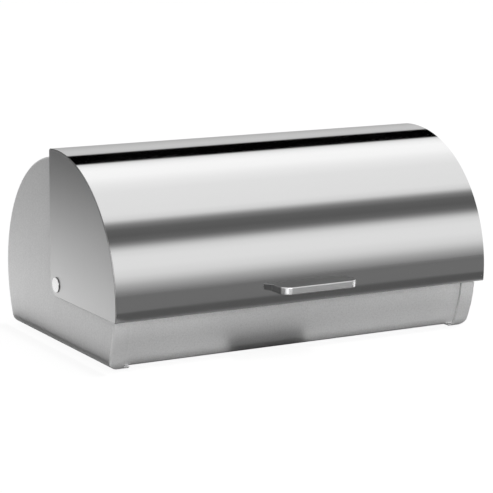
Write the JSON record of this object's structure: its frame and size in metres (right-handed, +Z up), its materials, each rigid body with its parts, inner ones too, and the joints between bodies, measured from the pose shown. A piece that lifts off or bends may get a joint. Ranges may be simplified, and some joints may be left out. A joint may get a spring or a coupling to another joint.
{
  "type": "roll-top bread box",
  "caption": "Steel bread box with a quarter-round lid that turns back over the case about side pivots, and a ledge handle.",
  "frame": {"origin": "on the table plane, under the centre of the closed box's bounding box", "axes": "+X towards the box's right-hand end seen from the front, +Y towards its back, +Z up"},
  "size_m": [0.4122, 0.282, 0.195],
  "materials": {
    "panel_steel": "satin, fine upright brushing",
    "sheet_steel": "satin, fine speckle",
    "lid_mirror_steel": "bright polished",
    "lid_plate_steel": "polished, slightly soft",
    "handle_metal": "fine satin with bright edges",
    "cap_chrome": "polished",
    "fastener_steel": "zinc plated",
    "rivet_aluminium": "dull",
    "bush_nylon": "natural nylon",
    "foot_rubber": "matt",
    "buffer_rubber": "matt"
  },
  "bodies": {
    "case": {"side_panel_left": "panel_steel", "side_panel_right": "panel_steel", "front_panel": "sheet_steel", "back_shell": "sheet_steel", "base_plate": "sheet_steel", "foot_front_left": "foot_rubber", "foot_front_right": "foot_rubber", "foot_rear_left": "foot_rubber", "foot_rear_right": "foot_rubber", "foot_rivets": "rivet_aluminium", "base_rivets": "rivet_aluminium", "panel_screws_left": "fastener_steel", "panel_screws_right": "fastener_steel", "base_screws_left": "fastener_steel", "base_screws_right": "fastener_steel", "stop_buffer_left": "buffer_rubber", "stop_buffer_right": "buffer_rubber", "pivot_stud_left": "cap_chrome", "pivot_stud_right": "cap_chrome", "pivot_bush_left": "bush_nylon", "pivot_bush_right": "bush_nylon", "pivot_washer_left": "fastener_steel", "pivot_washer_right": "fastener_steel", "pivot_nut_left": "fastener_steel", "pivot_nut_right": "fastener_steel"},
    "lid": {"lid_curve": "lid_mirror_steel", "lid_end_left": "lid_plate_steel", "lid_end_right": "lid_plate_steel", "lid_handle": "handle_metal", "handle_screws": "fastener_steel", "handle_washers": "fastener_steel"}
  },
  "joints": [
    {"name": "lid_hinge", "type": "hinge", "parent": "case", "child": "lid", "pos_m": [0, 0.013, 0.064], "axis": [-1, 0, 0], "range_deg": [0, 98.6]}
  ]
}
